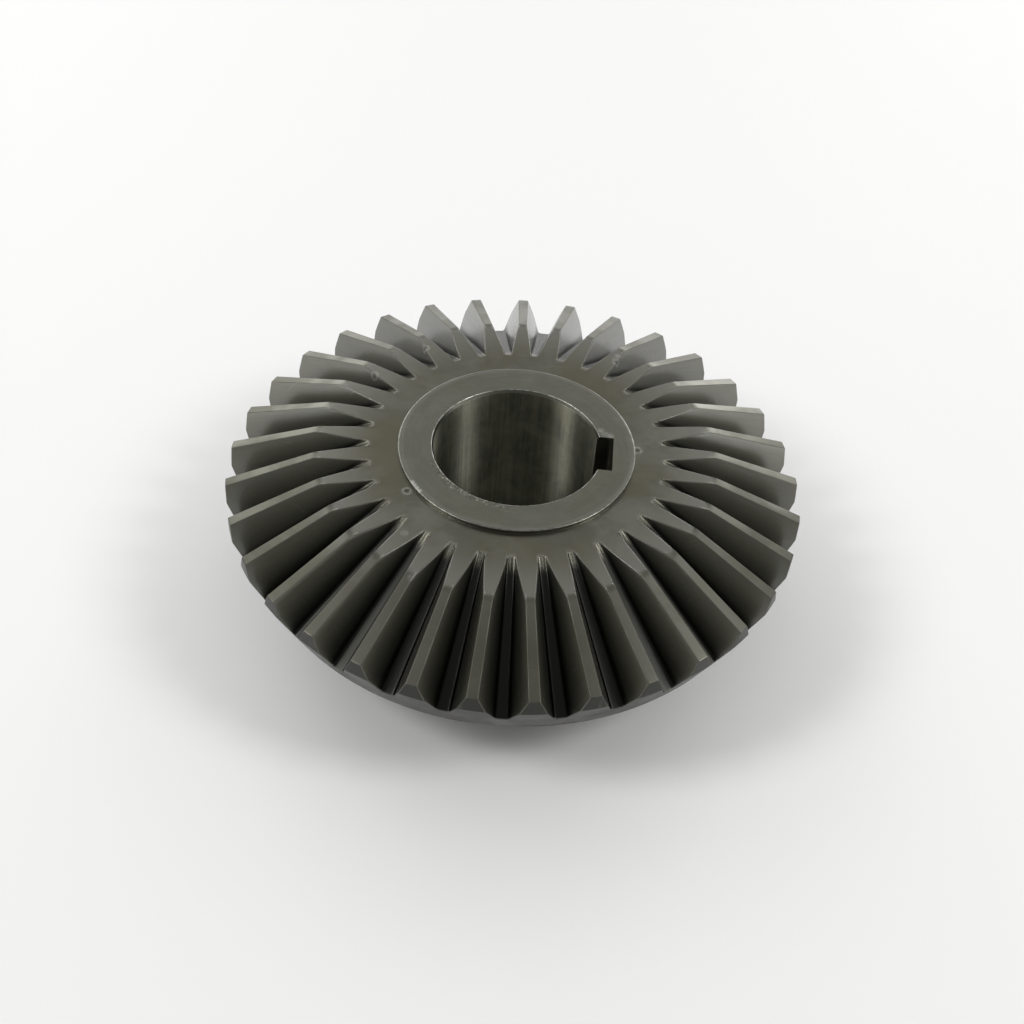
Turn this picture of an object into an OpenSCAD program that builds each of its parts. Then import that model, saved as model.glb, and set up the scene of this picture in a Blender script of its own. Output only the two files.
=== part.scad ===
// Straight bevel gear, cut from one steel blank, standing on the back of its hub.
// The axis is Z. Every tooth line runs to one point on the axis above the gear, the apex.
// Lengths are in millimetres and angles in degrees.

/* [Teeth] */
// Number of teeth round the gear
tooth_count = 33; // [28:1:40]
// Number of teeth on the mating gear, which sets the pitch cone
mate_tooth_count = 15; // [12:1:18]
// Module of the teeth at their large end
tooth_module = 4.5; // [4:0.25:5]
// Pressure angle of the tooth flanks
pressure_angle = 22.5; // [18:0.5:25]
// Height of the teeth above the pitch cone at their large end
addendum = 4.5; // [3.5:0.1:5]
// Depth of the tooth spaces below the pitch cone at their large end
dedendum = 5.6; // [4.5:0.1:6]
// Clearance that the tooth tips keep from the roots of the mating gear
tip_clearance = 1; // [0:0.1:2]
// Metal taken off the thickness of each tooth so that the pair runs freely
thinning = 0.45; // [0:0.05:0.7]
// Radius at the foot of the flanks at their large end
root_fillet = 0.9; // [0.3:0.1:1.2]
// Length of the tooth tips along the face cone
face_width = 24; // [18:0.5:27]

/* [Rim] */
// How far the sharp outer corner of the teeth is turned down
corner_trim = 2.9; // [0.5:0.1:4]
// Height of the straight land that is turned round the tooth ends
heel_land = 4.5; // [2:0.1:7]
// Depth of solid rim under the tooth spaces
rim_wall = 7.4; // [4:0.1:14]
// Chamfer round the lower edge of the rim
rim_chamfer = 0.5; // [0.2:0.1:1.5]

/* [Hub] */
// Diameter of the hub behind the gear
hub_d = 66; // [56:1:80]
// Length of the hub behind the rim
hub_length = 18.4; // [8:0.2:30]
// Chamfer round the end of the hub
hub_chamfer = 1; // [0.3:0.1:2]
// Radius where the hub meets the back of the rim
hub_fillet = 3; // [1:0.5:5]
// Diameter of the raised boss in front
boss_d = 60; // [54:0.5:66]
// Height of the boss above the front face
boss_h = 1.1; // [0.5:0.1:4]
// Chamfer round the edge of the boss
boss_chamfer = 0.3; // [0.1:0.1:0.4]

/* [Bore] */
// Diameter of the bore
bore_d = 42; // [36:0.5:44]
// Chamfer at both ends of the bore
bore_chamfer = 0.65; // [0.2:0.05:1.5]
// Width of the keyway
key_w = 12; // [8:0.5:14]
// Depth of the keyway beyond the wall of the bore
key_depth = 3.3; // [2:0.1:4.5]

/* [Hidden] */
steel = [0.36, 0.36, 0.32];
round_steps = 180;
fillet_steps = 4;
flank_steps = 8;
hub_fillet_steps = 6;
cut_margin = 2;

// Pitch cone and face cone. A drop is a depth below the apex.
pitch_angle = atan2(tooth_count, mate_tooth_count);
pitch_r = tooth_module * tooth_count / 2;
pitch_drop = tooth_module * mate_tooth_count / 2;
cone_length = norm([pitch_r, pitch_drop]);
face_slope = 90 - pitch_angle - atan((addendum + tip_clearance) / cone_length);
corner_r = pitch_r + addendum * cos(pitch_angle);
corner_drop = pitch_drop - addendum * sin(pitch_angle);

// Outer ends of the tooth tips, and the knee where the tips meet the front face
outer_r = corner_r - corner_trim;
outer_drop = corner_drop - corner_trim * tan(face_slope);
knee_r = outer_r - face_width * cos(face_slope);
knee_drop = outer_drop - face_width * sin(face_slope);

// Back cone, square to the pitch cone, and the depth at which the tooth spaces leave it
land_drop = outer_drop + heel_land;
root_slope = (pitch_drop + dedendum * sin(pitch_angle)) / (pitch_r - dedendum * cos(pitch_angle));
root_r = (outer_r + land_drop / tan(pitch_angle)) / (1 + root_slope / tan(pitch_angle));
rim_drop = root_slope * root_r + rim_wall;
function back_r(drop) = outer_r - (drop - land_drop) / tan(pitch_angle);

// Heights above the end of the hub
apex_z = hub_length + rim_drop;
face_z = apex_z - knee_drop;
top_z = face_z + boss_h;

// Each tooth space is drawn as the space of a flat gear that rolls like the back cone.
flat_r = pitch_r / cos(pitch_angle);
base_r = flat_r * cos(pressure_angle);
tooth_half = (PI * tooth_module / 2 - thinning) / 2 / flat_r * 180 / PI;
space_step = 180 * cos(pitch_angle) / tooth_count;
function involute(angle) = tan(angle) * 180 / PI - angle;
function flank_angle(r) = acos(min(1, base_r / r));
function space_half(r) = space_step - tooth_half - involute(pressure_angle) + involute(flank_angle(r));
function flank(h) = let (r = flat_r + h, a = space_half(r)) [r * sin(a), r * cos(a) - flat_r];

// Fillet between the floor and a flank that leans by the angle lean
lean = flank_angle(flat_r - dedendum);
fillet_u = flank(-dedendum)[0] - root_fillet * (1 - sin(lean)) / cos(lean);
fillet_top = root_fillet * (1 - sin(lean)) - dedendum;
flank_top = addendum + cut_margin;
fillet_points = [for (i = [0 : fillet_steps - 1]) let (a = -90 + (90 - lean) * i / fillet_steps)
    [fillet_u + root_fillet * cos(a), root_fillet * (1 + sin(a)) - dedendum]];
flank_points = [for (i = [0 : flank_steps]) flank(fillet_top + (flank_top - fillet_top) * i / flank_steps)];
right_side = concat(fillet_points, flank_points);
side_count = len(right_side);
left_side = [for (i = [side_count - 1 : -1 : 0]) [-right_side[i][0], right_side[i][1]]];
space_outline = concat(right_side, left_side);

// A tooth space is cut from past the tooth ends to where its floor has risen out of the front face.
heel_scale = (outer_r + 2 * cut_margin) / (pitch_r - dedendum);
toe_scale = (knee_drop - cut_margin) / (root_slope * (pitch_r - dedendum * cos(pitch_angle)));
function space_point(p, scale) = [
    scale * (pitch_r + p[1] * cos(pitch_angle)),
    scale * p[0],
    apex_z - scale * (pitch_drop - p[1] * sin(pitch_angle))];

module tooth_space() {
    count = 2 * side_count;
    points = [for (scale = [toe_scale, heel_scale], p = space_outline) space_point(p, scale)];
    toe_end = [for (i = [0 : side_count - 2]) [i, i + 1, count - 2 - i, count - 1 - i]];
    heel_end = [for (face = toe_end) [for (i = [3 : -1 : 0]) face[i] + count]];
    walls = [for (i = [0 : count - 1]) let (j = (i + 1) % count) [i, i + count, j + count, j]];
    polyhedron(points, concat(toe_end, heel_end, walls), convexity = 4);
}

module blank() {
    hub_r = hub_d / 2;
    bore_r = bore_d / 2;
    boss_r = boss_d / 2;
    hub_root = [for (i = [0 : hub_fillet_steps]) let (a = 180 - 90 * i / hub_fillet_steps)
        [hub_r + hub_fillet * (1 + cos(a)), hub_length - hub_fillet * (1 - sin(a))]];
    rotate_extrude($fn = round_steps)
        polygon(concat(
            [[bore_r + bore_chamfer, 0], [hub_r - hub_chamfer, 0], [hub_r, hub_chamfer]],
            hub_root,
            [[back_r(rim_drop) - rim_chamfer, hub_length],
             [back_r(rim_drop - rim_chamfer), hub_length + rim_chamfer],
             [outer_r, apex_z - land_drop],
             [outer_r, apex_z - outer_drop],
             [knee_r, face_z],
             [boss_r, face_z],
             [boss_r, top_z - boss_chamfer],
             [boss_r - boss_chamfer, top_z],
             [bore_r + bore_chamfer, top_z],
             [bore_r, top_z - bore_chamfer],
             [bore_r, bore_chamfer]]));
}

module keyway() {
    translate([0, -key_w / 2, -cut_margin])
        cube([bore_d / 2 + key_depth, key_w, top_z + 2 * cut_margin]);
}

module bevel_gear() {
    color(steel)
        difference() {
            blank();
            keyway();
            for (i = [0 : tooth_count - 1])
                rotate([0, 0, i * 360 / tooth_count])
                    tooth_space();
        }
}

bevel_gear();
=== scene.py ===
import functools
import math
import bmesh
import bpy
from mathutils import Matrix, Vector


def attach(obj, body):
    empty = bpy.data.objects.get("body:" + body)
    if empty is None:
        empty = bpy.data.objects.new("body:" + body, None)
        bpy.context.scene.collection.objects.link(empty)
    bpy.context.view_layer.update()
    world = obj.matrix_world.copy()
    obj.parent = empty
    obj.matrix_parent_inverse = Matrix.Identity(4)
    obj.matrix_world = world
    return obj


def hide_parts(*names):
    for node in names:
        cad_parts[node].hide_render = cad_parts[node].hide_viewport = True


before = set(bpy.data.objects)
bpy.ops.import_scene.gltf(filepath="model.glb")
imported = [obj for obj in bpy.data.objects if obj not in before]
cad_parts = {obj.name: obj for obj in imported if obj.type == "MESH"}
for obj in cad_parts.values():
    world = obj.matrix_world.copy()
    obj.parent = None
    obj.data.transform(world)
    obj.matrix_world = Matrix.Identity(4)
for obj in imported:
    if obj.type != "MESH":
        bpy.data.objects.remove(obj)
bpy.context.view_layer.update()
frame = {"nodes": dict(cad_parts)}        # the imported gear, in metres, standing on its hub
scene = bpy.context.scene
scene.view_settings.view_transform = "Standard"
mm = 0.001
print("frame loaded:", ", ".join(frame["nodes"]))


# Node helpers

def addNode(tree, kind, **settings):
    node = tree.nodes.new(kind)
    for name, value in settings.items():
        setattr(node, name, value)
    return node


def setInputs(node, **values):
    for name, value in values.items():
        node.inputs[name].default_value = value
    return node


def feed(tree, socket, value):    # a link, or a fixed number or colour
    if isinstance(value, (int, float)):
        socket.default_value = value
    elif isinstance(value, tuple):
        socket.default_value = value + (1.0,)
    else:
        tree.links.new(value, socket)


def math2(tree, operation, first, second, clamp=False):
    node = addNode(tree, "ShaderNodeMath", operation=operation, use_clamp=clamp)
    feed(tree, node.inputs[0], first)
    feed(tree, node.inputs[1], second)
    return node.outputs[0]


def times(tree, first, second):
    return math2(tree, "MULTIPLY", first, second)


def plus(tree, first, second):
    return math2(tree, "ADD", first, second)


def minus(tree, first, second):
    return math2(tree, "SUBTRACT", first, second)


def larger(tree, first, second):
    return math2(tree, "MAXIMUM", first, second)


def remap(tree, value, low, high, toLow=0.0, toHigh=1.0):
    node = addNode(tree, "ShaderNodeMapRange", interpolation_type="SMOOTHSTEP")
    tree.links.new(value, node.inputs["Value"])
    for name, number in (("From Min", low), ("From Max", high), ("To Min", toLow), ("To Max", toHigh)):
        node.inputs[name].default_value = number
    return node.outputs["Result"]


def mixColour(tree, factor, first, second):
    node = addNode(tree, "ShaderNodeMix", data_type="RGBA")
    tree.links.new(factor, node.inputs["Factor"])
    feed(tree, node.inputs["A"], first)
    feed(tree, node.inputs["B"], second)
    return node.outputs["Result"]


def objectPlace(tree):
    return addNode(tree, "ShaderNodeTexCoord").outputs["Object"]


def readAttribute(tree, name):
    return addNode(tree, "ShaderNodeAttribute", attribute_name=name).outputs["Fac"]


def noiseOn(tree, place, scale, **settings):
    noise = setInputs(addNode(tree, "ShaderNodeTexNoise"), **settings)
    tree.links.new(place, noise.inputs["Vector"])
    feed(tree, noise.inputs["Scale"], scale)
    return noise.outputs["Fac"]


def newGroup(name, inputs, outputs):
    tree = bpy.data.node_groups.new(name, "ShaderNodeTree")
    for label, value in inputs.items():
        socket = tree.interface.new_socket(label, in_out="INPUT", socket_type="NodeSocketFloat")
        socket.default_value = value
    for label in outputs:
        tree.interface.new_socket(label, in_out="OUTPUT", socket_type="NodeSocketFloat")
    return tree, tree.nodes.new("NodeGroupInput").outputs, tree.nodes.new("NodeGroupOutput").inputs


def useGroup(tree, group, **values):
    return setInputs(addNode(tree, "ShaderNodeGroup", node_tree=group), **values).outputs


# Shared effects, all on Object coordinates in metres or on the gear's own attributes

def buildTurnMarks():
    inputs = {"Rings": 2500.0, "Wander": 1.5}
    tree, given, result = newGroup("turnMarks", inputs, ["Height", "Tone", "Reach"])
    place = objectPlace(tree)
    flat = addNode(tree, "ShaderNodeVectorMath", operation="MULTIPLY")
    flat.inputs[1].default_value = (1, 1, 0)
    tree.links.new(place, flat.inputs[0])
    reach = addNode(tree, "ShaderNodeVectorMath", operation="LENGTH")
    tree.links.new(flat.outputs["Vector"], reach.inputs[0])
    heading = addNode(tree, "ShaderNodeVectorMath", operation="NORMALIZE")
    tree.links.new(flat.outputs["Vector"], heading.inputs[0])
    side = addNode(tree, "ShaderNodeSeparateXYZ")
    tree.links.new(heading.outputs["Vector"], side.inputs[0])
    height = addNode(tree, "ShaderNodeSeparateXYZ")
    tree.links.new(place, height.inputs[0])
    spot = addNode(tree, "ShaderNodeCombineXYZ")
    tree.links.new(times(tree, reach.outputs["Value"], given["Rings"]), spot.inputs["X"])
    tree.links.new(times(tree, side.outputs["X"], given["Wander"]), spot.inputs["Y"])
    tree.links.new(times(tree, side.outputs["Y"], given["Wander"]), spot.inputs["Z"])
    noise = addNode(tree, "ShaderNodeTexNoise", noise_dimensions="4D")
    setInputs(noise, Scale=1.0, Detail=3.0, Roughness=0.7)
    tree.links.new(spot.outputs["Vector"], noise.inputs["Vector"])
    tree.links.new(times(tree, height.outputs["Z"], given["Rings"]), noise.inputs["W"])
    tree.links.new(noise.outputs["Fac"], result["Height"])
    tree.links.new(remap(tree, noise.outputs["Fac"], 0.3, 0.7), result["Tone"])
    tree.links.new(reach.outputs["Value"], result["Reach"])
    return tree


def buildOilFilm():
    tree, given, result = newGroup("oilFilm", {"Scale": 60.0}, ["Tone", "Stain"])
    place = objectPlace(tree)
    for label, share, low, high in (("Tone", 1.0, 0.35, 0.65), ("Stain", 0.45, 0.42, 0.6)):
        scale = times(tree, given["Scale"], share)
        cloud = noiseOn(tree, place, scale, Detail=5.0, Roughness=0.6, Distortion=0.4)
        tree.links.new(remap(tree, cloud, low, high), result[label])
    return tree


def buildGrain():
    tree, given, result = newGroup("steelGrain", {"Scale": 2200.0}, ["Height"])
    grain = noiseOn(tree, objectPlace(tree), given["Scale"], Detail=4.0, Roughness=0.65)
    tree.links.new(grain, result["Height"])
    return tree


def buildScratches():
    tree, given, result = newGroup("scratches", {"Scale": 90.0, "Rarity": 0.66}, ["Mask"])
    place = objectPlace(tree)
    total = None
    for turn, stretch in ((0.4, 14.0), (1.5, 18.0), (2.5, 11.0)):    # three ways that tools slid across
        mapping = addNode(tree, "ShaderNodeMapping")
        setInputs(mapping, Rotation=(0, 0, turn), Scale=(1.0, stretch, 1.0), Location=(turn, 0, 0))
        tree.links.new(place, mapping.inputs["Vector"])
        streaks = noiseOn(tree, mapping.outputs["Vector"], given["Scale"],
                          Detail=2.0, Roughness=0.5, Distortion=0.15)
        mask = math2(tree, "MULTIPLY", minus(tree, streaks, given["Rarity"]), 14.0, clamp=True)
        total = mask if total is None else larger(tree, total, mask)
    tree.links.new(total, result["Mask"])
    return tree


def buildEdgeWear():
    tree, given, result = newGroup("edgeWear", {"Amount": 1.0, "Breakup": 350.0}, ["Mask"])
    cloud = noiseOn(tree, objectPlace(tree), given["Breakup"], Detail=4.0, Roughness=0.6)
    patchy = remap(tree, cloud, 0.38, 0.58, 0.1, 1.0)
    worn = times(tree, readAttribute(tree, "wear"), patchy)
    tree.links.new(math2(tree, "MULTIPLY", worn, given["Amount"], clamp=True), result["Mask"])
    return tree


marks = {    # places and radii in millimetres
    "tests": [(-39.75, 23.22, 43.39), (-27.9, 36.3, 43.8), (-25.3, -19.1, 43.94), (24.2, 38.2, 43.9),
              (30.5, 3.6, 43.94)],    # pits of a hardness tester
    "rubs": [(23.7, 39.5, 43.9), (24.4, 40.8, 43.8), (-20.6, -46.7, 43.8), (-24.0, -33.2, 43.9),
             (20.9, 8.6, 45.0), (22.0, 7.4, 45.0), (23.4, 6.8, 45.0),    # beside the keyway
             (26.7, 14.6, 45.2), (27.9, 12.1, 45.2), (29.0, 9.2, 45.2), (29.7, 6.4, 45.2)],
    "nicks": [(-24.3, -17.0, 44.9), (-23.7, -17.9, 44.9), (-23.0, -18.8, 44.9),
              (-22.2, -19.7, 44.9)],    # one blow on the boss's edge
    "pitRadius": 0.65,
    "rubRadius": 1.3,
    "nickRadius": 0.8,
    "pitTone": 0.7,
    "ringTone": 0.36,    # the metal raised round a pit
    "rubTone": 0.35,
    "nickTone": 0.7,
    "chipHeading": (-0.56, -0.83, 0.0),    # the side of the bore that is chipped
    "chipSide": (17.0, 20.5),    # how far that way the chips begin, and are at their full strength
    "chipBand": (22.0, 24.2),    # radii between which they fade
    "chipScale": 1300.0,
}


def inMetres(lengths):
    return [length * mm for length in lengths]


def markDistance(tree, place, spots):    # distance from the nearest of some places
    nearest = None
    for spot in spots:
        node = addNode(tree, "ShaderNodeVectorMath", operation="DISTANCE")
        tree.links.new(place, node.inputs[0])
        node.inputs[1].default_value = Vector(spot) * mm
        far = node.outputs["Value"]
        nearest = far if nearest is None else math2(tree, "MINIMUM", nearest, far)
    return nearest


def buildHandMarks():
    tree, given, result = newGroup("handMarks", {"Breakup": 1100.0}, ["Pit", "Ring", "Rub", "Breakup"])
    place = objectPlace(tree)
    cloud = noiseOn(tree, place, given["Breakup"], Detail=3.0, Roughness=0.6)
    tree.links.new(cloud, result["Breakup"])
    patchy = remap(tree, cloud, 0.38, 0.6, 0.35, 1.0)
    pit, rub, nick = inMetres(marks[name] for name in ("pitRadius", "rubRadius", "nickRadius"))
    fromTest = markDistance(tree, place, marks["tests"])
    tree.links.new(remap(tree, fromTest, 0.3 * pit, 1.1 * pit, marks["pitTone"], 0.0), result["Pit"])
    rise = remap(tree, fromTest, 0.9 * pit, 1.4 * pit)
    fall = remap(tree, fromTest, 1.5 * pit, 2.5 * pit, marks["ringTone"], 0.0)
    tree.links.new(times(tree, times(tree, rise, fall), patchy), result["Ring"])
    fromRub = markDistance(tree, place, marks["rubs"])
    rubbed = remap(tree, fromRub, 0.3 * rub, rub, marks["rubTone"], 0.0)
    fromNick = markDistance(tree, place, marks["nicks"])
    nicked = remap(tree, fromNick, 0.5 * nick, nick, marks["nickTone"], 0.0)
    tree.links.new(larger(tree, times(tree, rubbed, patchy), nicked), result["Rub"])
    return tree


turnMarks = buildTurnMarks()
handMarks = buildHandMarks()
oilFilm = buildOilFilm()
steelGrain = buildGrain()
scratches = buildScratches()
edgeWear = buildEdgeWear()
print("shared effects built")


# Finishes

finish = {
    "toothDark": (0.120, 0.119, 0.098),
    "toothLight": (0.166, 0.165, 0.140),
    "toe": (0.205, 0.205, 0.183),
    # painted shade on the heel lands, the back cone and the rim, which face the shadowed floor
    "heel": (0.045, 0.045, 0.040),
    # painted shade: the flanks darken from flankTop towards this foot colour, which also tints the planing
    # streaks
    "flankTop": (0.128, 0.126, 0.098),
    "flankFootShadeAndStreak": (0.078, 0.076, 0.060),
    "edge": (0.090, 0.090, 0.077),
    # painted shade on the floors of the tooth spaces
    "rootPaintedShade": (0.027, 0.027, 0.024),
    "slotEnd": (0.180, 0.177, 0.143),
    "groove": (0.030, 0.029, 0.024),
    "stain": (0.114, 0.108, 0.072),
    "bare": (0.31, 0.31, 0.29),
    "fresh": (0.56, 0.56, 0.53),
    "bossDark": (0.130, 0.132, 0.108),
    "bossLight": (0.167, 0.169, 0.141),
    "boreDark": (0.116, 0.120, 0.098),
    "boreLight": (0.320, 0.312, 0.240),
    "pit": (0.060, 0.058, 0.048),
    "toothRoughness": 0.34,
    "flankRoughness": (0.50, 0.45),    # near the tips and at the foot
    "bossRoughness": 0.34,
    "boreRoughness": 0.43,
    "turnedSpread": 0.05,    # change of roughness from dry steel to oily
    "boreSpread": 0.03,
    "dullRoughness": 0.2,    # added on the edges of the teeth
    "oilRoughness": 0.22,
    "oilDensity": 1.7,       # index of refraction
    "stainReach": (38.0, 52.0),    # radii between which the stains thin out, in millimetres
    "stainShare": (0.75, 0.2),     # and their strength at each
    "rimLines": (28.2, 29.3),      # radii between which tool lines grow light inside the boss's edge
    "bumpStrength": 0.25,
    "bumpDepth": 0.02,       # millimetres
    "pitDepth": 12.0,        # the hardness tests, chips and grooves are deeper than the grain
    "chipDepth": 12.0,
    "grooveDepth": 6.0,
    "ringHeight": 3.0,
}


def newMaterial(name):
    material = bpy.data.materials.new(name)
    material.use_nodes = True
    tree = material.node_tree
    return material, tree, tree.nodes["Principled BSDF"]


def addBump(tree, shader, height):
    bump = addNode(tree, "ShaderNodeBump")
    setInputs(bump, Strength=finish["bumpStrength"], Distance=finish["bumpDepth"] * mm)
    tree.links.new(height, bump.inputs["Height"])
    tree.links.new(bump.outputs["Normal"], shader.inputs["Normal"])


def filmRoughness(tree, film, middle, spread):
    return remap(tree, film["Tone"], 0.0, 1.0, middle + spread, middle - spread)


def paintMarks(tree, hand, colour):    # rubbed spots, pits and the rings round them
    colour = mixColour(tree, larger(tree, hand["Rub"], hand["Ring"]), colour, finish["fresh"])
    return mixColour(tree, hand["Pit"], colour, finish["pit"])


def planeLines(tree, close, long):    # noise drawn out along the tooth, different on each tooth
    trace = addNode(tree, "ShaderNodeCombineXYZ")
    for axis, name, scale in (("X", "across", close), ("Y", "run", long), ("Z", "lot", 40.0)):
        tree.links.new(times(tree, readAttribute(tree, name), scale), trace.inputs[axis])
    return noiseOn(tree, trace.outputs["Vector"], 1.0, Detail=3.0, Roughness=0.6)


def buildToothSteel():
    material, tree, shader = newMaterial("toothSteel")
    film = useGroup(tree, oilFilm, Scale=70.0)
    rings = useGroup(tree, turnMarks, Rings=1800.0)
    wear = useGroup(tree, edgeWear, Amount=0.8)
    scuff = useGroup(tree, scratches, Scale=80.0, Rarity=0.7)
    grain = useGroup(tree, steelGrain, Scale=2600.0)
    hand = useGroup(tree, handMarks)
    depth = readAttribute(tree, "depth")
    dull = readAttribute(tree, "dull")
    cut = math2(tree, "MULTIPLY", depth, 10.0, clamp=True)    # 1 on flanks and floors
    turned = minus(tree, 1.0, cut)                            # 1 on turned faces

    # planing marks along the tooth, strongest near the slot ends, where the floors are also lighter
    planing = planeLines(tree, 3.2, 0.12)
    grooves = remap(tree, planeLines(tree, 1.5, 0.08), 0.38, 0.52)
    fromToe = plus(tree, readAttribute(tree, "run"), times(tree, planing, 2.4))
    # the floors and lowest flanks, which get painted shade and are left without oil
    foot = remap(tree, depth, 0.6, 0.82)
    slotEnd = times(tree, remap(tree, fromToe, 2.2, 5.4, 1.0, 0.0), cut)

    # the front face, the tooth tips and the back
    turnedColour = mixColour(tree, film["Tone"], finish["toothDark"], finish["toothLight"])
    inward = remap(tree, rings["Reach"], *inMetres(finish["stainReach"]), *finish["stainShare"])
    turnedColour = mixColour(tree, times(tree, film["Stain"], inward), turnedColour, finish["stain"])
    turnedColour = mixColour(tree, readAttribute(tree, "toe"), turnedColour, finish["toe"])
    # painted shade: the back of the gear takes the dark heel colour
    turnedColour = mixColour(tree, readAttribute(tree, "rearShade"), turnedColour, finish["heel"])
    turnedRough = filmRoughness(tree, film, finish["toothRoughness"], finish["turnedSpread"])

    # the flanks and floors of the tooth spaces
    # painted shade: the flank colour darkens from the tips down into the tooth spaces
    paintedFlankShade = remap(tree, depth, 0.15, 0.82)
    cutColour = mixColour(tree, paintedFlankShade, finish["flankTop"], finish["flankFootShadeAndStreak"])
    streaky = remap(tree, planing, 0.35, 0.65, 0.0, 0.14)
    cutColour = mixColour(tree, streaky, cutColour, finish["flankFootShadeAndStreak"])
    cutColour = mixColour(tree, times(tree, film["Tone"], 0.25), cutColour, finish["edge"])
    # painted shade: the floors of the tooth spaces darkened
    cutColour = mixColour(tree, foot, cutColour, finish["rootPaintedShade"])
    endColour = mixColour(tree, grooves, finish["groove"], finish["slotEnd"])
    cutColour = mixColour(tree, slotEnd, cutColour, endColour)
    cutRough = remap(tree, depth, 0.15, 0.6, *finish["flankRoughness"])
    cutRough = plus(tree, cutRough, remap(tree, planing, 0.3, 0.7, -0.03, 0.03))
    cutRough = plus(tree, cutRough, remap(tree, depth, 0.7, 0.85, 0.0, -0.1))

    # both, with dull edges, scratches, the lip at the slot ends and the marks of handling
    colour = mixColour(tree, cut, turnedColour, cutColour)
    colour = mixColour(tree, times(tree, dull, 0.15), colour, finish["edge"])
    faint = remap(tree, depth, 0.4, 0.8, 0.12, 0.0)
    colour = mixColour(tree, times(tree, scuff["Mask"], faint), colour, finish["bare"])
    colour = mixColour(tree, times(tree, wear["Mask"], 0.4), colour, finish["bare"])
    broken = remap(tree, hand["Breakup"], 0.4, 0.62, 0.05, 0.35)
    lip = times(tree, readAttribute(tree, "burr"), broken)
    colour = mixColour(tree, lip, colour, finish["bare"])
    tree.links.new(paintMarks(tree, hand, colour), shader.inputs["Base Color"])
    rough = plus(tree, times(tree, turnedRough, turned), times(tree, cutRough, cut))
    rough = plus(tree, rough, times(tree, dull, finish["dullRoughness"]))
    tree.links.new(rough, shader.inputs["Roughness"])

    ringHeight = times(tree, times(tree, rings["Height"], turned), 0.5)
    grainy = times(tree, grain["Height"], remap(tree, depth, 0.0, 0.1, 0.7, 0.3))
    height = plus(tree, ringHeight, grainy)
    height = plus(tree, height, times(tree, grooves, times(tree, slotEnd, finish["grooveDepth"])))
    height = minus(tree, height, times(tree, hand["Pit"], finish["pitDepth"]))
    height = plus(tree, height, times(tree, hand["Ring"], finish["ringHeight"]))
    addBump(tree, shader, height)

    bareSteel = larger(tree, foot, slotEnd)
    oily = times(tree, cut, minus(tree, 1.0, bareSteel))    # oil is left on the flanks
    tree.links.new(oily, shader.inputs["Coat Weight"])
    shader.inputs["Coat Roughness"].default_value = finish["oilRoughness"]
    shader.inputs["Coat IOR"].default_value = finish["oilDensity"]
    setInputs(shader, Metallic=1.0)
    return material


def buildChips(tree, reach):    # small chips along one side of the bore's front edge
    place = objectPlace(tree)
    facing = addNode(tree, "ShaderNodeVectorMath", operation="DOT_PRODUCT")
    tree.links.new(place, facing.inputs[0])
    facing.inputs[1].default_value = marks["chipHeading"]
    cloud = noiseOn(tree, place, marks["chipScale"], Detail=4.0, Roughness=0.7)
    band = remap(tree, reach, *inMetres(marks["chipBand"]), 1.0, 0.0)
    side = remap(tree, facing.outputs["Value"], *inMetres(marks["chipSide"]))
    return times(tree, times(tree, band, side), minus(tree, cloud, 0.5))


def buildTurnedSteel():
    material, tree, shader = newMaterial("turnedSteel")
    film = useGroup(tree, oilFilm, Scale=110.0)
    rings = useGroup(tree, turnMarks, Rings=2600.0, Wander=2.0)
    wear = useGroup(tree, edgeWear, Amount=1.0, Breakup=700.0)
    scuff = useGroup(tree, scratches, Scale=120.0, Rarity=0.68)
    grain = useGroup(tree, steelGrain, Scale=3000.0)
    hand = useGroup(tree, handMarks)
    chips = buildChips(tree, rings["Reach"])
    tone = times(tree, plus(tree, film["Tone"], rings["Tone"]), 0.5)
    colour = mixColour(tree, tone, finish["bossDark"], finish["bossLight"])
    colour = mixColour(tree, times(tree, film["Stain"], 0.2), colour, finish["stain"])
    colour = mixColour(tree, times(tree, scuff["Mask"], 0.15), colour, finish["bare"])
    colour = mixColour(tree, wear["Mask"], colour, finish["fresh"])
    nearRim = remap(tree, rings["Reach"], *inMetres(finish["rimLines"]))
    rimLines = times(tree, times(tree, nearRim, rings["Tone"]), 0.35)
    colour = mixColour(tree, rimLines, colour, finish["bare"])
    colour = mixColour(tree, remap(tree, chips, -0.03, -0.09, 0.0, 0.6), colour, finish["pit"])
    colour = mixColour(tree, remap(tree, chips, 0.03, 0.10, 0.0, 0.45), colour, finish["fresh"])
    tree.links.new(paintMarks(tree, hand, colour), shader.inputs["Base Color"])
    rough = filmRoughness(tree, film, finish["bossRoughness"], finish["turnedSpread"])
    tree.links.new(rough, shader.inputs["Roughness"])
    height = plus(tree, rings["Height"], times(tree, grain["Height"], 0.5))
    height = plus(tree, height, times(tree, chips, finish["chipDepth"]))
    height = minus(tree, height, times(tree, hand["Pit"], finish["pitDepth"]))
    addBump(tree, shader, height)
    setInputs(shader, Metallic=1.0)
    return material


def buildBoreSteel():
    material, tree, shader = newMaterial("boreSteel")
    film = useGroup(tree, oilFilm, Scale=90.0)
    lines = useGroup(tree, turnMarks, Rings=40.0, Wander=22.0)    # drawn out along the bore
    tone = plus(tree, times(tree, film["Tone"], 0.5), times(tree, lines["Tone"], 0.4))
    colour = mixColour(tree, tone, finish["boreDark"], finish["boreLight"])
    tree.links.new(colour, shader.inputs["Base Color"])
    rough = filmRoughness(tree, film, finish["boreRoughness"], finish["boreSpread"])
    tree.links.new(rough, shader.inputs["Roughness"])
    setInputs(shader, Metallic=1.0, Anisotropic=1.0)
    # tool marks run round the wall, so light draws out along it
    shader.inputs["Anisotropic Rotation"].default_value = 0.25
    return material


toothSteel = buildToothSteel()
turnedSteel = buildTurnedSteel()
boreSteel = buildBoreSteel()
print("finishes built")


# Gear sizes, in millimetres and degrees

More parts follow.
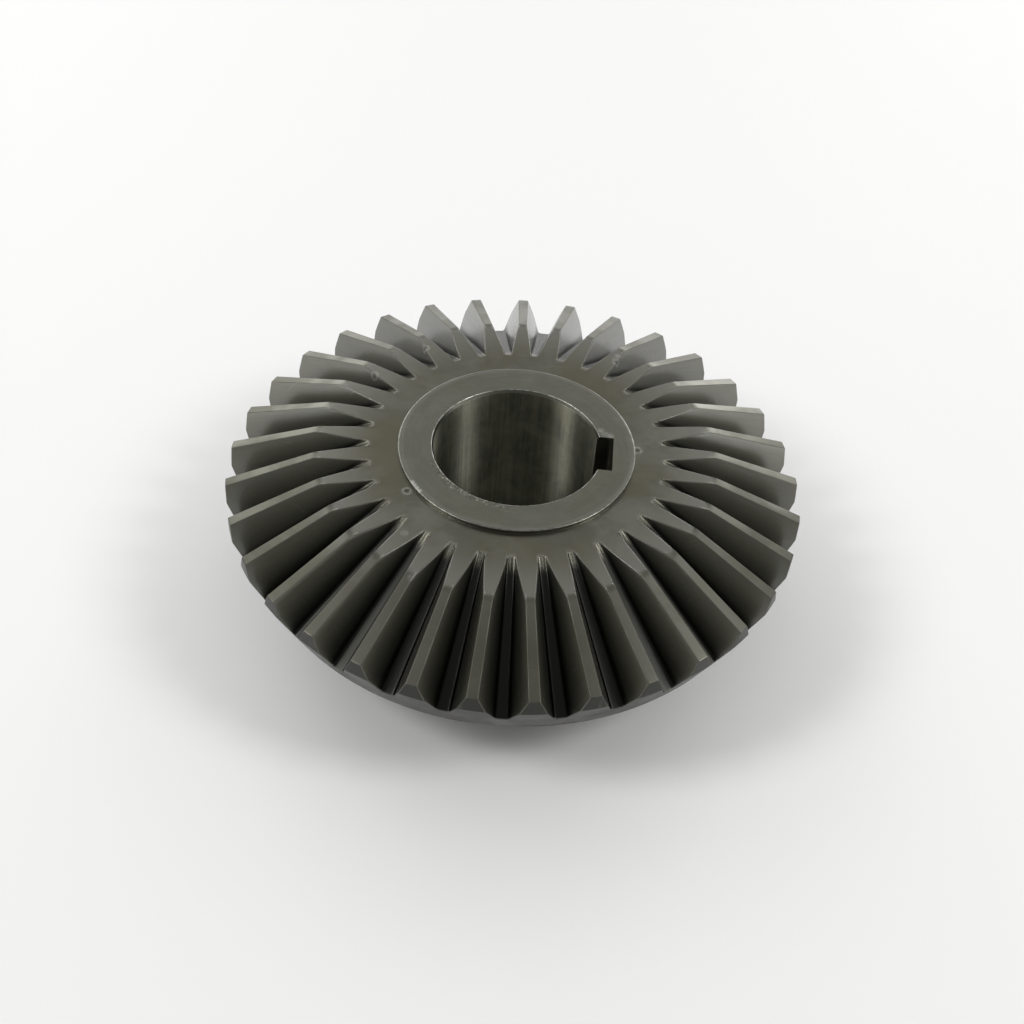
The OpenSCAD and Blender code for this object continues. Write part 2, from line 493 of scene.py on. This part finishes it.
gear = {
    "toothCount": 33,
    "mateToothCount": 15,
    "toothModule": 4.5,
    "pressureAngle": 22.5,
    "addendum": 4.5,
    "dedendum": 5.6,
    "tipClearance": 1.0,
    "thinning": 0.45,
    "rootFillet": 0.9,
    "faceWidth": 24.0,
    "cornerTrim": 2.9,
    "heelLand": 4.5,
    "rimWall": 7.4,
    "rimChamfer": 0.5,
    "hubDiameter": 66.0,
    "hubLength": 18.4,
    "hubChamfer": 1.0,
    "hubFillet": 3.0,
    "bossDiameter": 60.0,
    "bossHeight": 1.1,
    "boreDiameter": 42.0,
    "boreChamfer": 0.65,
    "keyWidth": 12.0,
    "keyDepth": 3.3,
    "edgeRound": 0.14,       # softening along the tooth tips
    "endRound": 0.22,        # softening at the ends of the teeth
    "turnedRound": 0.1,      # softening of the turned corners
    "bossRound": (0.22, 0.45),   # rubbed edge of the boss, down the wall and in along the top
    "bossFoot": 0.05,        # fillet at the foot of the boss
    "lipRound": 0.2,         # worn edge of the bore
    "kneeRound": 1.2,        # softening where the tooth tips meet the front face
    "boreLip": (0.5, 0.9),   # steep lip of the bore in front, across and down
    "keyRound": 0.12,        # softening of the keyway's edges
    "burrHeight": 0.09,      # lip that the cutter raised where the spaces run out
    "burrScale": 450.0,      # unevenness of that lip
    "burrSeed": 7,
    "frontBand": 3.4,        # from the boss out to where the rows of the teeth begin
    "frontStep": 1.6,        # width of the flat bridge inside them
    "backBand": 20.0,        # from the hub out to the bridge on the back
    "rimStep": 0.2,          # from the rim's lower edge to the rows beside it
    "toeStart": 36.0,        # the tooth ends grow paler from this radius out
    "kneePale": 0.3,         # how pale the tips still are at the knee
    "kneeFade": 6.0,         # and how far out that goes
    "weldGap": 0.0005,       # points closer than this are one
}

halfPitch = math.pi / gear["toothCount"]
pitchAngle = math.atan2(gear["toothCount"], gear["mateToothCount"])
pitchSin = math.sin(pitchAngle)
pitchCos = math.cos(pitchAngle)
pitchTan = math.tan(pitchAngle)
pitchR = gear["toothModule"] * gear["toothCount"] / 2
pitchDrop = gear["toothModule"] * gear["mateToothCount"] / 2    # a drop is a depth below the apex
coneLength = math.hypot(pitchR, pitchDrop)
tipAngle = math.atan((gear["addendum"] + gear["tipClearance"]) / coneLength)
faceTan = math.tan(math.pi / 2 - pitchAngle - tipAngle)
faceCos = 1 / math.hypot(1, faceTan)
outerR = pitchR + gear["addendum"] * pitchCos - gear["cornerTrim"]
outerDrop = pitchDrop - gear["addendum"] * pitchSin - gear["cornerTrim"] * faceTan
kneeR = outerR - gear["faceWidth"] * faceCos
kneeDrop = outerDrop - gear["faceWidth"] * faceCos * faceTan
landDrop = outerDrop + gear["heelLand"]
rootSlope = (pitchDrop + gear["dedendum"] * pitchSin) / (pitchR - gear["dedendum"] * pitchCos)
rootR = (outerR + landDrop / pitchTan) / (1 + rootSlope / pitchTan)
apexZ = gear["hubLength"] + rootSlope * rootR + gear["rimWall"]
faceZ = apexZ - kneeDrop
footZ = apexZ - landDrop
topZ = faceZ + gear["bossHeight"]

flatR = pitchR / pitchCos    # the back cone unrolled is a flat gear of this radius
pressure = math.radians(gear["pressureAngle"])
baseR = flatR * math.cos(pressure)
toothHalf = (math.pi * gear["toothModule"] / 2 - gear["thinning"]) / 2 / flatR
spaceStep = halfPitch * pitchCos
edgeRound = gear["edgeRound"]
endRound = gear["endRound"]


def involute(angle):
    return math.tan(angle) - angle


def flankLean(radius):
    return math.acos(min(1.0, baseR / radius))


def flankPoint(height):    # half of a tooth space on the unrolled back cone
    radius = flatR + height
    half = spaceStep - toothHalf - involute(pressure) + involute(flankLean(radius))
    return radius * math.sin(half), radius * math.cos(half) - flatR


def conePoint(flat, scale):    # the same on the gear, beside the tooth at angle 0
    across, height = flat
    point = Vector((pitchR + height * pitchCos, -across, height * pitchSin - pitchDrop)) * scale
    return Matrix.Rotation(halfPitch, 3, "Z") @ point + Vector((0, 0, apexZ))


def polar(radius, angle, height):
    return Vector((radius * math.cos(angle), radius * math.sin(angle), height))


def reach(point):
    return math.hypot(point.x, point.y)


def angleOf(point):
    return math.atan2(point.y, point.x)


def bend(start, corner, end, share):    # a point on the rounding of a corner
    return start * (1 - share) ** 2 + corner * 2 * share * (1 - share) + end * share ** 2


def solve(test, low, high):    # where test turns from negative to positive
    for step in range(36):
        middle = (low + high) / 2
        if test(middle) < 0:
            low = middle
        else:
            high = middle
    return (low + high) / 2


@functools.lru_cache(maxsize=None)
def tipHeight(scale):    # where a flank meets the cone of the tooth tips
    def overTip(height):
        point = conePoint(flankPoint(height), scale)
        return point.z - faceZ + (reach(point) - kneeR) * faceTan
    return solve(overTip, 0.0, gear["addendum"] + 2.0)


def backRadius(height):    # the turned land and the back cone under it
    return outerR - max(0.0, footZ - height) / pitchTan


# Columns run along a tooth, from the middle of its tip to the middle of the space beside it

footLean = flankLean(flatR - gear["dedendum"])
filletReach = gear["rootFillet"] * (1 - math.sin(footLean))
filletTop = filletReach - gear["dedendum"]
filletAcross = flankPoint(-gear["dedendum"])[0] - filletReach / math.cos(footLean)
filletSteps = 5
flankSteps = 11
roundShares = (1 / 3, 2 / 3)    # points along the rounding of a corner


def filletPoint(step):
    angle = -math.pi / 2 + (math.pi / 2 - footLean) * step / filletSteps
    lift = gear["rootFillet"] * (1 + math.sin(angle))
    return filletAcross + gear["rootFillet"] * math.cos(angle), lift - gear["dedendum"]


def onTooth(column, scale):
    kind, value = column
    if kind == "root":
        return conePoint(value, scale)
    tip = tipHeight(scale)
    near = tip - edgeRound / scale
    if kind == "flank":
        return conePoint(flankPoint(near + value * (filletTop - near)), scale)
    corner = conePoint(flankPoint(tip), scale)
    landAngle = angleOf(corner) - edgeRound / reach(corner)
    if kind == "land":
        return polar(reach(corner), value * landAngle, corner.z)
    land = polar(reach(corner), landAngle, corner.z)
    return bend(land, corner, conePoint(flankPoint(near), scale), value)


def toeScale(column):
    return solve(lambda scale: faceZ - onTooth(column, scale).z, 0.4, 1.1)


def heelScale(column):
    def outside(scale):
        point = onTooth(column, scale)
        return reach(point) - backRadius(point.z)
    return solve(outside, 0.8, 1.3)


def heelHeight(share):
    column = ("flank", share)
    return onTooth(column, heelScale(column)).z


# one line along the flank is moved so that it ends on the foot of the land
footShare = solve(lambda share: footZ - heelHeight(share), 0.0, 1.0)
flankShares = [step / flankSteps for step in range(flankSteps + 1)]
nearest = min(flankShares[1:-1], key=lambda share: abs(share - footShare))
flankShares[flankShares.index(nearest)] = footShare
columns = [("land", share) for share in (0.0, 0.5, 1.0)]
columns += [("edge", share) for share in roundShares]
columns += [("flank", share) for share in flankShares]
columns += [("root", filletPoint(step)) for step in range(filletSteps - 1, -1, -1)]
columns += [("root", (filletAcross * share, -gear["dedendum"])) for share in (0.5, 0.0)]
lastColumn = len(columns) - 1

frontRingR = gear["bossDiameter"] / 2 + gear["frontBand"]
backRingR = gear["hubDiameter"] / 2 + gear["backBand"]
rimTopZ = gear["hubLength"] + gear["rimChamfer"]
rimBottomR = backRadius(gear["hubLength"]) - gear["rimChamfer"]
frontRows = ((0.0, 0.0), (0.4, 0.0), (0.7, 0.0), (0.84, 0.25), (0.93, 0.7))    # place, and share of the lip
bodySteps = 14
farRun = 60.0    # well past any slot end


def alongEdge(points):    # direction of an edge at each of its points
    middle = [(points[i + 1] - points[i - 1]).normalized() for i in range(1, lastColumn)]
    first = Vector((0, 1, 0))
    last = Vector((-math.sin(halfPitch), math.cos(halfPitch), 0))
    return [first] + middle + [last]


def toeRound(column):    # rounding at the front end of a line along the tooth
    kind, value = column
    if kind == "land":
        return gear["kneeRound"]
    if kind == "edge":
        return gear["kneeRound"] * (1 - value) + endRound * value
    return endRound


def roundStep(column, scale, along, amount):    # change of scale that the rounding takes up
    nudge = 0.001
    slope = (onTooth(column, scale + nudge) - onTooth(column, scale - nudge)) / (2 * nudge)
    return amount / slope.cross(along).length


def onBack(point):    # moved in or out to the land or the back cone
    return polar(backRadius(point.z), angleOf(point), point.z)


def depthOf(index):    # 0 on turned faces, 1 on the floor of a tooth space
    kind, value = columns[index]
    if kind == "flank":
        return 0.1 + 0.68 * value
    if kind == "root":
        return 0.8 + 0.2 * min(1.0, (index - columns.index(("flank", 1.0))) / filletSteps)
    return 0.0


def acrossOf(index):    # distance from the tip along the tooth's outline, in millimetres at the heel
    points = [onTooth(column, 1.0) for column in columns[:index + 1]]
    return sum((after - before).length for before, after in zip(points, points[1:]))


def betweenNeighbours(points):    # at a tooth corner the inner points lie on one line
    first = columns.index(("land", 1.0))
    last = columns.index(("flank", 0.0))
    for index in range(first + 1, last):
        points[index] = points[first].lerp(points[last], columns[index][1])
    return points


def lipShare(column):    # the lip goes round the slot's end and fades along its sides
    kind, value = column
    if kind == "flank":
        return max(0.0, min(1.0, (value - 0.7) / 0.3))
    return 1.0 if kind == "root" else 0.0


slotEndR = reach(onTooth(columns[-1], toeScale(columns[-1])))


def runOf(point):    # how far out from the slot's end
    return max(0.0, reach(point) - slotEndR)


def columnRows(index, toe, heel, facePoint, backPoint, toeAlong, heelAlong):
    column = columns[index]
    depth = depthOf(index)
    across = acrossOf(index)
    lip = lipShare(column)
    isEdge = 1.0 if column[0] == "edge" else 0.0
    toeDull = 0.0 if column[0] == "land" else 1.0 - lip
    ringAngle = halfPitch * index / lastColumn
    toeStart = toe + roundStep(column, toe, toeAlong, toeRound(column))
    heelStart = heel - roundStep(column, heel, heelAlong, endRound)
    toeCorner = onTooth(column, toe)
    heelCorner = onTooth(column, heel)
    ringPoint = polar(frontRingR, ringAngle, faceZ)
    rows = []

    def addRow(place, wear=0.0, dull=0.0, burr=0.0, depth=0.0, run=farRun, toe=0.0, rearShade=0.0):
        rows.append((place, wear, dull, burr, depth, run, across, toe, rearShade))

    def toeShare(point):
        return max(0.0, min(1.0, (reach(point) - gear["toeStart"]) / (kneeR - gear["toeStart"])))

    for share, lipPart in frontRows:
        point = ringPoint.lerp(facePoint, share)
        addRow(point, burr=lipPart * lip, toe=toeShare(point))
    addRow(facePoint, burr=0.9 * lip, run=runOf(facePoint), toe=toeShare(facePoint))
    toothPoint = onTooth(column, toeStart)
    for share in roundShares:
        point = bend(facePoint, toeCorner, toothPoint, share)
        addRow(point, dull=toeDull, burr=lip, depth=depth * share, run=runOf(point))
    for step in range(bodySteps + 1):
        point = onTooth(column, toeStart + (heelStart - toeStart) * step / bodySteps)
        pale = gear["kneePale"] * max(0.0, 1 - (reach(point) - kneeR) / gear["kneeFade"])
        addRow(point, dull=isEdge, depth=depth, run=runOf(point), toe=0.0 if depth else pale)
    for share in roundShares:
        point = bend(onTooth(column, heelStart), heelCorner, backPoint, share)
        addRow(point, wear=0.4, dull=0.5, rearShade=share)
    addRow(backPoint, rearShade=1.0)
    startAngle = angleOf(backPoint)
    drop = backPoint.z - rimTopZ
    for height in (footZ + endRound, footZ, footZ - endRound):
        level = min(height, backPoint.z)
        angle = startAngle + (ringAngle - startAngle) * (backPoint.z - level) / drop
        addRow(polar(backRadius(level), angle, level), rearShade=1.0)
    lastAngle = angleOf(rows[-1][0])
    lastHeight = rows[-1][0].z
    for height in (rimTopZ + 0.5 * (lastHeight - rimTopZ), rimTopZ + gear["rimStep"]):
        angle = lastAngle + (ringAngle - lastAngle) * (lastHeight - height) / (lastHeight - rimTopZ)
        addRow(polar(backRadius(height), angle, height), rearShade=1.0)
    addRow(polar(backRadius(rimTopZ), ringAngle, rimTopZ), wear=0.6, rearShade=1.0)
    addRow(polar(rimBottomR, ringAngle, gear["hubLength"]), wear=0.6, rearShade=1.0)
    addRow(polar(rimBottomR - gear["rimStep"], ringAngle, gear["hubLength"]), rearShade=1.0)
    return rows


def toothRows():
    toes = [toeScale(column) for column in columns]
    heels = [heelScale(column) for column in columns]
    toeCorners = [onTooth(*pair) for pair in zip(columns, toes)]
    heelCorners = [onTooth(*pair) for pair in zip(columns, heels)]
    toeAlong = alongEdge(toeCorners)
    heelAlong = alongEdge(heelCorners)
    facePoints = [corner + Vector((-along.y, along.x, 0)) * toeRound(column)
                  for column, corner, along in zip(columns, toeCorners, toeAlong)]
    backPoints = [onBack(corner + along.cross(polar(1.0, angleOf(corner), 0.0)) * endRound)
                  for corner, along in zip(heelCorners, heelAlong)]
    facts = zip(toes, heels, betweenNeighbours(facePoints), betweenNeighbours(backPoints),
                toeAlong, heelAlong)
    half = [columnRows(index, *fact) for index, fact in enumerate(facts)]
    mirrored = [[(Vector((p.x, -p.y, p.z)), *rest) for p, *rest in rows] for rows in half[:0:-1]]
    return mirrored + half


# The turned core, as a profile of (radius, height, corner rounding, wear of the corner, finish after it)

coreSteps = 6
wideRound = 0.5    # a corner rounded this much or more gets more points
wideShares = [step / 6 for step in range(1, 6)]
boreR = gear["boreDiameter"] / 2
bossR = gear["bossDiameter"] / 2
hubR = gear["hubDiameter"] / 2
soft = gear["turnedRound"]
coreProfile = [
    (frontRingR - gear["frontStep"], faceZ, 0.0, 0.0, "toothSteel"),
    (bossR, faceZ, gear["bossFoot"], 0.0, "turnedSteel"),
    (bossR, topZ, gear["bossRound"], 0.3, "turnedSteel"),
    (boreR + gear["boreLip"][0], topZ, gear["lipRound"], 0.7, "turnedSteel"),
    (boreR, topZ - gear["boreLip"][1], soft, 0.0, "boreSteel"),
    (boreR, gear["boreChamfer"], soft, 0.0, "turnedSteel"),
    (boreR + gear["boreChamfer"], 0.0, soft, 0.3, "turnedSteel"),
    (hubR - gear["hubChamfer"], 0.0, soft, 0.3, "turnedSteel"),
    (hubR, gear["hubChamfer"], soft, 0.3, "turnedSteel"),
    (hubR, gear["hubLength"], gear["hubFillet"], 0.0, "turnedSteel"),
    (backRingR, gear["hubLength"], 0.0, 0.0, "toothSteel"),
]
finishNames = ["toothSteel", "turnedSteel", "boreSteel"]


def coreRows():    # points as (radius, height, wear, finish of the face that follows)
    rows = []
    for index, (radius, height, rounding, worn, name) in enumerate(coreProfile):
        corner = Vector((radius, height))
        if rounding == 0:
            rows.append((corner, 0.0, name))
            continue
        before = Vector(coreProfile[index - 1][:2])
        after = Vector(coreProfile[index + 1][:2])
        lead, follow = rounding if isinstance(rounding, tuple) else (rounding, rounding)
        start = corner + (before - corner).normalized() * lead
        end = corner + (after - corner).normalized() * follow
        shares = roundShares if follow < wideRound else wideShares
        rows.append((start, 0.0, name))
        rows += [(bend(start, corner, end, share), worn, name) for share in shares]
        rows.append((end, 0.0, name))
    return rows


vertAttributes = ("wear", "dull", "burr", "depth", "run", "across", "toe", "rearShade")


def buildSector():
    mesh = bmesh.new()
    layers = [mesh.verts.layers.float.new(name) for name in vertAttributes]
    finishOf = mesh.faces.layers.int.new("finish")

    def addVert(place, *values):
        vert = mesh.verts.new(place * mm)
        for layer, value in zip(layers, values):
            vert[layer] = value
        return vert

    def addFace(corners, name):
        mesh.faces.new(corners)[finishOf] = finishNames.index(name)

    fine = [[addVert(*row) for row in rows] for rows in toothRows()]
    for left, right in zip(fine, fine[1:]):
        for row in range(len(left) - 1):
            addFace((left[row], left[row + 1], right[row + 1], right[row]), "toothSteel")

    rows = coreRows()
    angles = [-halfPitch + 2 * halfPitch * step / coreSteps for step in range(coreSteps + 1)]
    coarse = [[addVert(polar(spot.x, angle, spot.y), worn) for spot, worn, name in rows] for angle in angles]
    for left, right in zip(coarse, coarse[1:]):
        for row in range(len(rows) - 1):
            addFace((right[row], right[row + 1], left[row + 1], left[row]), rows[row][2])

    # flat bridges between the close columns of the tooth and the wide ones of the core
    bridge = [round(step * (len(fine) - 1) / coreSteps) for step in range(coreSteps + 1)]
    for step in range(coreSteps):
        between = range(bridge[step], bridge[step + 1] + 1)
        front = [fine[column][0] for column in between]
        addFace([coarse[step + 1][0], coarse[step][0]] + front, "toothSteel")
        back = [fine[column][-1] for column in reversed(between)]
        addFace([coarse[step][-1], coarse[step + 1][-1]] + back, "toothSteel")

    bmesh.ops.remove_doubles(mesh, verts=mesh.verts, dist=gear["weldGap"] * mm)
    sector = bpy.data.meshes.new("toothSector")
    mesh.to_mesh(sector)
    mesh.free()
    sector.materials.append(toothSteel)
    return sector


# One sector is set round the axis by nodes, with a lip of its own height on each tooth

def buildToothRing():
    tree = bpy.data.node_groups.new("toothRing", "GeometryNodeTree")
    socket = tree.interface.new_socket
    socket("Geometry", in_out="INPUT", socket_type="NodeSocketGeometry")
    socket("Tooth Count", in_out="INPUT", socket_type="NodeSocketInt")
    socket("Burr Height", in_out="INPUT", socket_type="NodeSocketFloat")
    socket("Burr Scale", in_out="INPUT", socket_type="NodeSocketFloat")
    socket("Seed", in_out="INPUT", socket_type="NodeSocketInt")
    for name in finishNames:
        socket(name, in_out="INPUT", socket_type="NodeSocketMaterial")
    socket("Geometry", in_out="OUTPUT", socket_type="NodeSocketGeometry")
    link = tree.links.new
    given = tree.nodes.new("NodeGroupInput").outputs

    # one sector for each tooth, turned half a step so that a tooth space lies on the X axis
    spots = addNode(tree, "GeometryNodeMeshLine")
    spots.inputs["Offset"].default_value = (0, 0, 0)
    link(given["Tooth Count"], spots.inputs["Count"])
    index = addNode(tree, "GeometryNodeInputIndex").outputs[0]
    step = math2(tree, "DIVIDE", math.tau, given["Tooth Count"])
    turn = addNode(tree, "ShaderNodeCombineXYZ")
    link(times(tree, plus(tree, index, 0.5), step), turn.inputs["Z"])
    euler = addNode(tree, "FunctionNodeEulerToRotation")
    link(turn.outputs[0], euler.inputs[0])
    place = addNode(tree, "GeometryNodeInstanceOnPoints")
    link(spots.outputs["Mesh"], place.inputs["Points"])
    link(given["Geometry"], place.inputs["Instance"])
    link(euler.outputs[0], place.inputs["Rotation"])

    # a number of its own for each tooth, which sets its planing marks
    lot = addNode(tree, "FunctionNodeRandomValue", data_type="FLOAT")
    link(given["Seed"], lot.inputs["Seed"])
    store = addNode(tree, "GeometryNodeStoreNamedAttribute", domain="INSTANCE", data_type="FLOAT")
    store.inputs["Name"].default_value = "lot"
    link(place.outputs["Instances"], store.inputs["Geometry"])
    link(lot.outputs[1], store.inputs["Value"])
    realize = addNode(tree, "GeometryNodeRealizeInstances")
    link(store.outputs["Geometry"], realize.inputs["Geometry"])

    # the uneven lip round the slot ends
    read = addNode(tree, "GeometryNodeInputNamedAttribute", data_type="FLOAT")
    read.inputs["Name"].default_value = "burr"
    uneven = setInputs(addNode(tree, "ShaderNodeTexNoise", noise_dimensions="4D"), Detail=2.0)
    link(given["Burr Scale"], uneven.inputs["Scale"])
    link(addNode(tree, "GeometryNodeInputPosition").outputs[0], uneven.inputs["Vector"])
    link(given["Seed"], uneven.inputs["W"])
    lift = times(tree, read.outputs[0], uneven.outputs["Fac"])
    offset = addNode(tree, "ShaderNodeCombineXYZ")
    link(times(tree, lift, given["Burr Height"]), offset.inputs["Z"])
    raised = addNode(tree, "GeometryNodeSetPosition")
    link(realize.outputs["Geometry"], raised.inputs["Geometry"])
    link(offset.outputs[0], raised.inputs["Offset"])

    # each face gets the finish that it is numbered for
    whole = raised.outputs["Geometry"]
    number = addNode(tree, "GeometryNodeInputNamedAttribute", data_type="INT")
    number.inputs["Name"].default_value = "finish"
    for order, name in enumerate(finishNames):
        same = addNode(tree, "FunctionNodeCompare", data_type="INT", operation="EQUAL")
        link(number.outputs[0], same.inputs[2])
        same.inputs[3].default_value = order
        paint = addNode(tree, "GeometryNodeSetMaterial")
        link(whole, paint.inputs["Geometry"])
        link(same.outputs[0], paint.inputs["Selection"])
        link(given[name], paint.inputs["Material"])
        whole = paint.outputs["Geometry"]
    link(whole, tree.nodes.new("NodeGroupOutput").inputs["Geometry"])
    return tree


def plainMesh(piece):    # the mesh with its modifiers applied, and the modifiers removed
    depsgraph = bpy.context.evaluated_depsgraph_get()
    mesh = bpy.data.meshes.new_from_object(piece.evaluated_get(depsgraph), preserve_all_data_layers=True,
                                           depsgraph=depsgraph)
    piece.modifiers.clear()
    piece.data = mesh
    return mesh


def cutKeyway(piece):
    low = -2.0    # the cutter passes both ends of the bore by this much
    size = Vector((boreR + gear["keyDepth"], gear["keyWidth"], topZ - 2 * low))
    centre = Vector((size.x / 2, 0, low + size.z / 2))
    box = bmesh.new()
    bmesh.ops.create_cube(box, size=1.0)
    place = Matrix.Translation(centre * mm) @ Matrix.Diagonal(size * mm).to_4x4()
    bmesh.ops.transform(box, verts=box.verts, matrix=place)
    depth = box.verts.layers.float.new("depth")
    run = box.verts.layers.float.new("run")
    for vert in box.verts:
        vert[depth] = 1.0
        vert[run] = farRun
    cutterMesh = bpy.data.meshes.new("keyCutter")
    box.to_mesh(cutterMesh)
    box.free()
    cutterMesh.materials.append(toothSteel)
    cutter = bpy.data.objects.new("keyCutter", cutterMesh)
    scene.collection.objects.link(cutter)
    modifier = piece.modifiers.new("keyway", "BOOLEAN")
    modifier.operation = "DIFFERENCE"
    modifier.solver = "EXACT"
    modifier.material_mode = "TRANSFER"
    modifier.object = cutter
    plainMesh(piece)
    bpy.data.objects.remove(cutter)
    softenKeyway(piece.data)


def softenKeyway(mesh):
    slack = 0.01
    sharpAngle = 0.3    # radians
    halfKey = gear["keyWidth"] / 2
    floorX = boreR + gear["keyDepth"]

    def onKeyway(vert):
        x, y, z = vert.co / mm
        inside = x > 0 and x < floorX + slack and abs(y) < halfKey + slack
        return inside and (abs(abs(y) - halfKey) < slack or abs(x - floorX) < slack)

    work = bmesh.new()
    work.from_mesh(mesh)
    edges = [edge for edge in work.edges if edge.is_convex and edge.calc_face_angle(0) > sharpAngle
             and all(onKeyway(vert) for vert in edge.verts)]
    bmesh.ops.bevel(work, geom=edges, offset=gear["keyRound"] * mm, segments=2, profile=0.5,
                    affect="EDGES", clamp_overlap=True, material=-1)    # the finish of the faces beside it
    work.to_mesh(mesh)
    work.free()


def closeMesh(mesh):    # welded, faces outward and smooth
    work = bmesh.new()
    work.from_mesh(mesh)
    bmesh.ops.remove_doubles(work, verts=work.verts, dist=gear["weldGap"] * mm)
    bmesh.ops.recalc_face_normals(work, faces=work.faces)
    openEdges = sum(1 for edge in work.edges if len(edge.link_faces) != 2)
    for face in work.faces:
        face.smooth = True
    work.to_mesh(mesh)
    triangles = sum(len(face.verts) - 2 for face in work.faces)
    work.free()
    return openEdges, triangles


def buildGear():
    piece = bpy.data.objects.new("bevelGear", buildSector())
    scene.collection.objects.link(piece)
    tree = buildToothRing()
    values = {
        "Tooth Count": gear["toothCount"],
        "Burr Height": gear["burrHeight"] * mm,
        "Burr Scale": gear["burrScale"],
        "Seed": gear["burrSeed"],
        "toothSteel": toothSteel,
        "turnedSteel": turnedSteel,
        "boreSteel": boreSteel,
    }
    ring = piece.modifiers.new("toothRing", "NODES")
    ring.node_group = tree
    for item in tree.interface.items_tree:
        if item.in_out == "INPUT" and item.name in values:
            ring[item.identifier] = values[item.name]
    print("ring: %d open edges, %d triangles" % closeMesh(plainMesh(piece)))
    cutKeyway(piece)
    print("gear: %d open edges, %d triangles" % closeMesh(piece.data))
    normals = piece.modifiers.new("evenNormals", "WEIGHTED_NORMAL")
    normals.mode = "FACE_AREA"
    plainMesh(piece)
    return piece


bevelGear = buildGear()
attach(bevelGear, "root")
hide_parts("bevel_gear")


# Floor, light and camera

studio = {
    "floorColour": (0.95, 0.95, 0.95),
    "floorRoughness": 0.6,
    "floorHalf": 3.0,    # half its width, in metres
    "worldColour": (0.265, 0.264, 0.257),
    "seenColour": (0.9, 0.9, 0.9),    # what the camera sees beyond the floor
    "lamps": {       # place, width and height in metres, watts
        "rightLamp": ((0.835, -0.147, 0.849), (0.3, 0.4), 4.0),
        "leftLamp": ((-0.802, -0.276, 0.849), (0.3, 0.4), 4.5),
        "rightSide": ((1.15, -0.45, 0.12), (1.3, 0.16), 2.2),
        "leftSide": ((-1.15, -0.45, 0.12), (1.3, 0.16), 1.95),
        "leftHigh": ((-0.80, 0.46, 0.87), (0.5, 0.5), 1.05),
        "rightHigh": ((0.74, 0.37, 0.97), (0.5, 0.5), 0.5),
        "backLeft": ((-0.75, 1.12, 0.68), (0.8, 0.8), 3.9),
        "backRight": ((0.75, 1.12, 0.68), (0.8, 0.8), 2.9),
        "backGlow": ((0.0, 1.6, 0.25), (2.4, 0.5), 5.0),
        "backHigh": ((0.0, 0.95, 0.95), (0.7, 0.7), 0.75),
        "top": ((0.0, 0.1, 1.35), (0.9, 0.9), 0.5),
        "window": ((0.44, 1.18, 0.34), (0.42, 0.42), 0.75),
    },
}


def buildFloor():
    work = bmesh.new()
    bmesh.ops.create_grid(work, x_segments=8, y_segments=8, size=studio["floorHalf"])
    mesh = bpy.data.meshes.new("paper")
    work.to_mesh(mesh)
    work.free()
    floor = bpy.data.objects.new("paper", mesh)
    scene.collection.objects.link(floor)
    material, tree, shader = newMaterial("paper")
    setInputs(shader, Roughness=studio["floorRoughness"])
    feed(tree, shader.inputs["Base Color"], studio["floorColour"])
    mesh.materials.append(material)


def buildWorld():
    world = bpy.data.worlds.new("studio")
    world.use_nodes = True
    tree = world.node_tree
    glow = tree.nodes["Background"]
    feed(tree, glow.inputs["Color"], studio["worldColour"])
    seen = addNode(tree, "ShaderNodeBackground")
    feed(tree, seen.inputs["Color"], studio["seenColour"])
    path = addNode(tree, "ShaderNodeLightPath")
    both = addNode(tree, "ShaderNodeMixShader")
    tree.links.new(path.outputs["Is Camera Ray"], both.inputs["Fac"])
    tree.links.new(glow.outputs["Background"], both.inputs[1])
    tree.links.new(seen.outputs["Background"], both.inputs[2])
    tree.links.new(both.outputs["Shader"], tree.nodes["World Output"].inputs["Surface"])
    scene.world = world


def buildLamps():
    for name, (place, size, watts) in studio["lamps"].items():
        lamp = bpy.data.lights.new(name, "AREA")
        lamp.shape = "RECTANGLE"
        lamp.size, lamp.size_y = size
        lamp.energy = watts
        holder = bpy.data.objects.new(name, lamp)
        holder.location = place
        holder.rotation_euler = (-Vector(place)).to_track_quat("-Z", "Y").to_euler()
        scene.collection.objects.link(holder)


view = {
    "place": (7.05, -259.37, 283.15),    # millimetres
    "turn": 1.537,                       # degrees
    "elevation": 45.3,
    "roll": 4.566,
    "focus": 1395.9,                     # focal length in pixels
    "frameWidth": 1024,                  # pixels
}


def buildCamera():
    lens = bpy.data.cameras.new("camera")
    lens.sensor_width = 36.0
    lens.lens = lens.sensor_width * view["focus"] / view["frameWidth"]
    lens.clip_start = 0.01
    camera = bpy.data.objects.new("camera", lens)
    tilt = Matrix.Rotation(math.pi / 2 - math.radians(view["elevation"]), 4, "X")
    turn = Matrix.Rotation(math.radians(view["turn"]), 4, "Z")
    roll = Matrix.Rotation(math.radians(view["roll"]), 4, "Z")
    camera.matrix_world = Matrix.Translation(Vector(view["place"]) * mm) @ turn @ tilt @ roll
    scene.collection.objects.link(camera)
    scene.camera = camera


buildFloor()
buildWorld()
buildLamps()
buildCamera()
print("stage, light and camera set")
